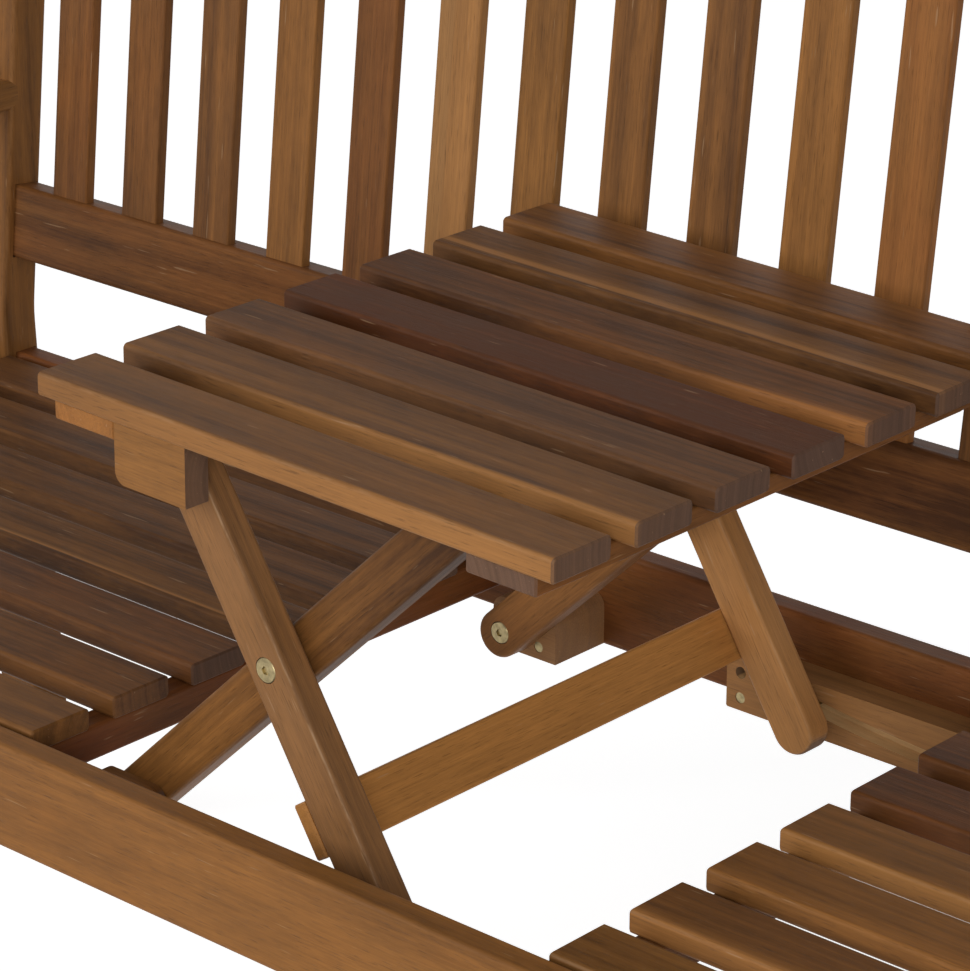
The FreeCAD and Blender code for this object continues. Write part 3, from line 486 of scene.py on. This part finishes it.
def oiled_wood(name):
    """Oiled hardwood: streaked heartwood, golden sapwood, open pores, grey sawn ends, and rounded edges
    worn pale that also carry a painted highlight.
    """
    colours = bpy.context.scene.bench_colours
    finish = bpy.context.scene.bench_finish
    s = Shader(bpy.data.materials.new(name))
    gx, gy, gz = s.split(s.attribute("grain").outputs["Vector"])
    tone, red, sap = s.split(s.attribute("tint").outputs["Vector"])
    wear = s.attribute("wear").outputs["Fac"]
    grey, band, _ = s.split(s.attribute("cast").outputs["Vector"])
    end = s.attribute("end_grain").outputs["Fac"]
    bare = s.attribute("bare").outputs["Fac"]

    # The trunk's rings, bent a little along the board
    sway = s.node("TexNoise", {"Vector": s.stretched(gx, gy, gz, *SWAY), "Scale": 1.0, "Detail": 2.0})
    sway_y, sway_z, _ = s.split(sway.outputs["Color"])
    wy = s.shifted(gy, sway_y, SWAY_REACH)
    wz = s.shifted(gz, sway_z, SWAY_REACH)
    radius = s.math("SQRT", s.math("ADD", s.math("MULTIPLY", wy, wy), s.math("MULTIPLY", wz, wz)))

    broad = s.noise(s.ringed(gx, radius, *BROAD_BANDS, 3.1), 2.0, 0.5)
    rings = s.noise(s.ringed(gx, radius, *RINGS, 7.3), 3.0, 0.6)
    fibres = s.noise(s.stretched(gx, gy, gz, *FIBRES), 3.0, 0.6)
    pores = s.remap(s.noise(s.stretched(gx, gy, gz, *PORES), 1.0), 0.62, 0.74)
    blotch = s.noise(s.stretched(gx, gy, gz, *BLOTCHES), 3.0, 0.6)
    flecks = s.noise(s.stretched(gx, gy, gz, *FLECKS), 3.0, 0.65)

    # Heartwood, from dark to light streaks, with a red cast
    shade = s.shifted(tone, broad, BROAD_DEPTH)
    shade = s.shifted(shade, rings, RING_DEPTH)
    shade = s.shifted(shade, blotch, BLOTCH_DEPTH)
    shade = s.shifted(shade, flecks, FLECK_DEPTH)
    shade = s.math("MULTIPLY", shade, SHADE_GAIN, clamp=True)
    heart = s.mix(shade, colours.heart_dark, colours.heart_light)
    reddened = s.math("MULTIPLY", red, s.remap(blotch, 0.3, 0.65, 0.5, 1.0), clamp=True)
    ember = s.mix(shade, scaled(colours.redwood, 0.45), scaled(colours.redwood, 1.9))
    heart = s.mix(reddened, heart, ember)

    # Golden sapwood, outside the heartwood and no wider than its strip
    beyond = s.math("SUBTRACT", s.shifted(radius, broad, 0.008), sap)
    golden = s.remap(beyond, -0.002, 0.0025, smooth=True)
    within = s.remap(s.math("SUBTRACT", band, beyond), -0.0008, 0.0008, smooth=True)
    golden = s.math("MULTIPLY", golden, within)
    pale = s.mix(rings, scaled(colours.sapwood, 0.62), scaled(colours.sapwood, 1.1))
    pale = s.mix(s.math("MULTIPLY", red, 0.8), pale, scaled(colours.redwood, 1.8))
    wood = s.mix(golden, heart, pale)

    # The greyish film, the fibres and pores, the grooves painted pale as unoiled wood and as painted
    # light, and the sawn ends
    film = s.math("MULTIPLY", grey, s.remap(blotch, 0.3, 0.7, 0.6, 1.0))
    wood = s.mix(film, wood, colours.weathered)
    fine = s.math("SUBTRACT", s.remap(fibres, 0.25, 0.75, 0.84, 1.14), s.math("MULTIPLY", pores, 0.30))
    wood = s.mix(1.0, wood, s.joined(fine, fine, fine), "MULTIPLY")
    wood = s.mix(s.math("MULTIPLY", bare, s.remap(flecks, 0.3, 0.6, 0.7, 1.0)), wood, colours.unoiled_and_lit_wood)
    sawn = s.mix(rings, scaled(colours.end_grain, 0.55), scaled(colours.end_grain, 1.45))
    wood = s.mix(s.math("MULTIPLY", end, 0.78), wood, sawn)

    # Edges worn pale, partly a painted highlight along the roundings, and a few scuffs
    ragged = s.remap(flecks, 0.40, 0.58)
    rubbed_and_highlit = s.math("MULTIPLY", s.math("POWER", wear, 3.5), s.math("MULTIPLY", ragged, finish.edge_wear_and_highlight))
    scuffs = s.remap(s.noise(s.stretched(gx, gy, gz, *SCUFFS), 1.0, 0.4), 0.735, 0.79)
    rubbed_and_highlit = s.math("MULTIPLY_ADD", scuffs, 0.35, rubbed_and_highlit, clamp=True)
    wood = s.mix(rubbed_and_highlit, wood, colours.worn_and_highlit_edge)

    # Surface
    dull = s.shifted(finish.roughness, fibres, 0.24)
    dull = s.shifted(dull, blotch, 0.22)
    dull = s.math("MULTIPLY_ADD", end, 0.18, dull, clamp=True)
    height = s.math("SUBTRACT", s.math("MULTIPLY_ADD", rings, 0.5, fibres), pores)
    bump = s.node("Bump", {"Strength": 0.45, "Distance": finish.grain_relief, "Height": height})
    skin = s.node("BsdfPrincipled", {"Base Color": wood, "Roughness": dull,
                                     "Specular IOR Level": finish.sheen, "Normal": bump.outputs[0]})
    return s.finished("OutputMaterial", skin)


def plain_metal(name, colour, roughness):
    """Dull plated metal with fine turning marks and a little tarnish."""
    s = Shader(bpy.data.materials.new(name))
    place = s.node("TexCoord").outputs["Object"]
    tarnish = s.noise(place, 3.0, 0.6, 260.0)
    marks = s.noise(place, 2.0, 0.5, 2600.0)
    shown = s.mix(s.remap(tarnish, 0.35, 0.7), colour, scaled(colour, 0.55))
    dull = s.shifted(roughness, marks, 0.25, clamp=True)
    bump = s.node("Bump", {"Strength": 0.2, "Distance": 0.0001, "Height": marks})
    skin = s.node("BsdfPrincipled", {"Base Color": shown, "Metallic": 1.0, "Roughness": dull,
                                     "Normal": bump.outputs[0]})
    return s.finished("OutputMaterial", skin)


def finish_named(name):
    """A finish by its name, made the first time that a piece asks for it."""
    made = "bench_" + name
    if made in bpy.data.materials:
        return bpy.data.materials[made]
    colours = bpy.context.scene.bench_colours
    if name == "brass":
        return plain_metal(made, list(colours.brass), 0.36)
    if name == "steel":
        return plain_metal(made, list(colours.steel), 0.34)
    return oiled_wood(made)


# Operators


class BENCH_OT_seats(bpy.types.Operator):
    """Dresses the slats of both seats and the bearers under them"""

    bl_idname = "bench.seats"
    bl_label = "Seat slats"

    def execute(self, context):
        wood = finish_named("wood_seat")
        for side in ("left", "right"):
            for number in range(1, 8):
                dress(f"{side}_seat_slat_{number}", ALONG_BENCH, wood)
            dress(f"seat_bearers_{side}", ACROSS_BENCH, finish_named("wood_block"))
        return {"FINISHED"}


class BENCH_OT_frame(bpy.types.Operator):
    """Dresses the seat rails, the legs and posts, the side rails and the armrests"""

    bl_idname = "bench.frame"
    bl_label = "Frame"

    def execute(self, context):
        wood = finish_named("wood_frame")
        for name in ("front_seat_rail", "rear_seat_rail"):
            dress(name, ALONG_BENCH, wood)
        for side in ("left", "right"):
            dress(f"front_leg_{side}", UPRIGHT, wood)
            dress(f"back_post_{side}", UPRIGHT, wood)
            dress(f"side_rail_{side}", ACROSS_BENCH, wood)
            dress(f"armrest_{side}", ACROSS_BENCH, wood)
        return {"FINISHED"}


class BENCH_OT_back(bpy.types.Operator):
    """Dresses the two rails and the slats of the back"""

    bl_idname = "bench.back"
    bl_label = "Back"

    def execute(self, context):
        wood = finish_named("wood_back")
        dress("back_lower_rail", ALONG_BACK, wood)
        dress("back_top_rail", ALONG_BACK, wood)
        dress("back_slats", LEANING, wood)
        return {"FINISHED"}


class BENCH_OT_table(bpy.types.Operator):
    """Dresses the slats, battens and hinge blocks of the table"""

    bl_idname = "bench.table"
    bl_label = "Table"

    def execute(self, context):
        for number in range(1, 8):
            dress(f"table_slat_{number}", ALONG_TABLE, finish_named("wood_table"))
        block = finish_named("wood_block")
        for side in ("left", "right"):
            dress(f"table_batten_{side}", ACROSS_TABLE, block)
        for end in ("front", "rear"):
            dress(f"hinge_block_{end}", ALONG_TABLE, block)
        return {"FINISHED"}


class BENCH_OT_legs(bpy.types.Operator):
    """Dresses the crossed legs, what joins them and the blocks that they turn and run in"""

    bl_idname = "bench.legs"
    bl_label = "Crossed legs"

    def execute(self, context):
        wood, block = finish_named("wood_leg"), finish_named("wood_block")
        for end in ("front", "rear"):
            dress(f"inner_leg_{end}", INNER_LEG, wood)
            dress(f"outer_leg_{end}", OUTER_LEG, wood)
            dress(f"base_block_{end}", ALONG_BENCH, block)
            dress(f"guide_block_{end}", ALONG_BENCH, block)
        dress("leg_stretcher", STRETCHER, block)
        dress("head_bar", ACROSS_BENCH, block)
        return {"FINISHED"}


class BENCH_OT_hardware(bpy.types.Operator):
    """Gives the bolts, pins and screws their metal"""

    bl_idname = "bench.hardware"
    bl_label = "Bolts and screws"

    def execute(self, context):
        for entry in frame["record"]["subparts"]:
            if entry["material_slot"] in ("brass", "steel"):
                node = frame["nodes"][entry["node"]]
                node.data.materials.clear()
                node.data.materials.append(finish_named(entry["material_slot"]))
        return {"FINISHED"}


# Where the camera stands and looks, its sensor in millimetres, and the row of the picture, counted from
# the top, that its axis meets
CAMERA_PLACE = (1.36973, -1.568335, 1.38904)
CAMERA_YAW = math.radians(42.13)
CAMERA_PITCH = math.radians(23.47)
SENSOR_WIDTH = 36
PICTURE_ROWS = 971
AXIS_ROW = 626.48

# The point that both lamps face and the length of their sides, and the floor's own grey and white
LIT_POINT = Vector((0, 0, 0.5))
LAMP_SIZE = 2.6
WHITE = (1.0, 1.0, 1.0)
FLOOR_GREY = (0.8, 0.8, 0.8)
FLOOR_GLOW = 0.72


class BENCH_OT_studio(bpy.types.Operator):
    """Adds a pale floor, soft lamps and the camera"""

    bl_idname = "bench.studio"
    bl_label = "Studio"

    def execute(self, context):
        studio = context.scene.bench_studio
        self.add_floor(studio)
        self.add_sky(studio)
        self.add_lamp("lamp_right", (3.4, -3.0, 2.0), studio.side_light)
        self.add_lamp("lamp_left", (-2.4, -3.9, 2.0), studio.side_light)
        self.add_camera(studio)
        context.scene.view_settings.view_transform = "Standard"
        return {"FINISHED"}

    def add_floor(self, studio):
        mesh = bpy.data.meshes.new("floor")
        shape = bmesh.new()
        bmesh.ops.create_grid(shape, x_segments=1, y_segments=1, size=studio.floor_size / 2)
        shape.to_mesh(mesh)
        shape.free()
        floor = bpy.data.objects.new("floor", mesh)
        bpy.context.scene.collection.objects.link(floor)
        s = Shader(bpy.data.materials.new("pale_floor"))
        glow = s.math("MULTIPLY", s.backdrop_rays(), FLOOR_GLOW)
        matt = s.node("BsdfDiffuse", {"Color": (*FLOOR_GREY, 1.0)})
        white = s.node("Emission", {"Color": (*WHITE, 1.0), "Strength": glow})
        both = s.node("AddShader", {0: matt.outputs[0], 1: white.outputs[0]})
        mesh.materials.append(s.finished("OutputMaterial", both))

    def add_sky(self, studio):
        s = Shader(bpy.data.worlds.new("pale_room"))
        light = s.node("Background", {"Strength": studio.sky})
        shown = s.node("Background", {"Color": (*WHITE, 1.0), "Strength": 1.0})
        both = s.node("MixShader", {0: s.backdrop_rays(), 1: light.outputs[0], 2: shown.outputs[0]})
        bpy.context.scene.world = s.finished("OutputWorld", both)

    def add_lamp(self, name, place, power):
        data = bpy.data.lights.new(name, "AREA")
        data.shape = "SQUARE"
        data.size = LAMP_SIZE
        data.energy = power
        lamp = bpy.data.objects.new(name, data)
        lamp.location = place
        lamp.rotation_euler = (LIT_POINT - lamp.location).to_track_quat("-Z", "Y").to_euler()
        bpy.context.scene.collection.objects.link(lamp)

    def add_camera(self, studio):
        level, drop = math.cos(CAMERA_PITCH), math.sin(CAMERA_PITCH)
        ahead = Vector((-math.sin(CAMERA_YAW) * level, math.cos(CAMERA_YAW) * level, -drop))
        data = bpy.data.cameras.new("camera")
        data.lens = studio.focal_length
        data.sensor_width = SENSOR_WIDTH
        data.shift_y = (AXIS_ROW - PICTURE_ROWS / 2) / PICTURE_ROWS
        camera = bpy.data.objects.new("camera", data)
        camera.location = CAMERA_PLACE
        camera.rotation_euler = ahead.to_track_quat("-Z", "Y").to_euler()
        bpy.context.scene.collection.objects.link(camera)
        bpy.context.scene.camera = camera


class BENCH_PT_panel(bpy.types.Panel):
    """Lists the bench's pieces and settings"""

    bl_idname = "BENCH_PT_panel"
    bl_label = "Bench"
    bl_space_type = "VIEW_3D"
    bl_region_type = "UI"
    bl_category = "Bench"

    def draw(self, context):
        for group in (context.scene.bench_colours, context.scene.bench_finish, context.scene.bench_studio):
            box = self.layout.box()
            for name in group.__annotations__:
                box.prop(group, name)
        for operator in PIECES:
            self.layout.operator(operator.bl_idname)


GROUPS = {"bench_colours": BenchColours, "bench_finish": BenchFinish, "bench_studio": BenchStudio}
PIECES = (BENCH_OT_seats, BENCH_OT_frame, BENCH_OT_back, BENCH_OT_table, BENCH_OT_legs, BENCH_OT_hardware,
          BENCH_OT_studio)


def register():
    """Registers the settings, the operators and the panel."""
    for name, group in GROUPS.items():
        bpy.utils.register_class(group)
        setattr(bpy.types.Scene, name, PointerProperty(type=group))
    for operator in PIECES:
        bpy.utils.register_class(operator)
    bpy.utils.register_class(BENCH_PT_panel)


def unregister():
    """Takes back what register added."""
    bpy.utils.unregister_class(BENCH_PT_panel)
    for operator in reversed(PIECES):
        bpy.utils.unregister_class(operator)
    for name, group in reversed(GROUPS.items()):
        delattr(bpy.types.Scene, name)
        bpy.utils.unregister_class(group)


def main():
    """Makes every piece and the studio."""
    register()
    bpy.ops.bench.seats()
    bpy.ops.bench.frame()
    bpy.ops.bench.back()
    bpy.ops.bench.table()
    bpy.ops.bench.legs()
    bpy.ops.bench.hardware()
    bpy.ops.bench.studio()
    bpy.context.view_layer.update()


if __name__ == "__main__":
    main()
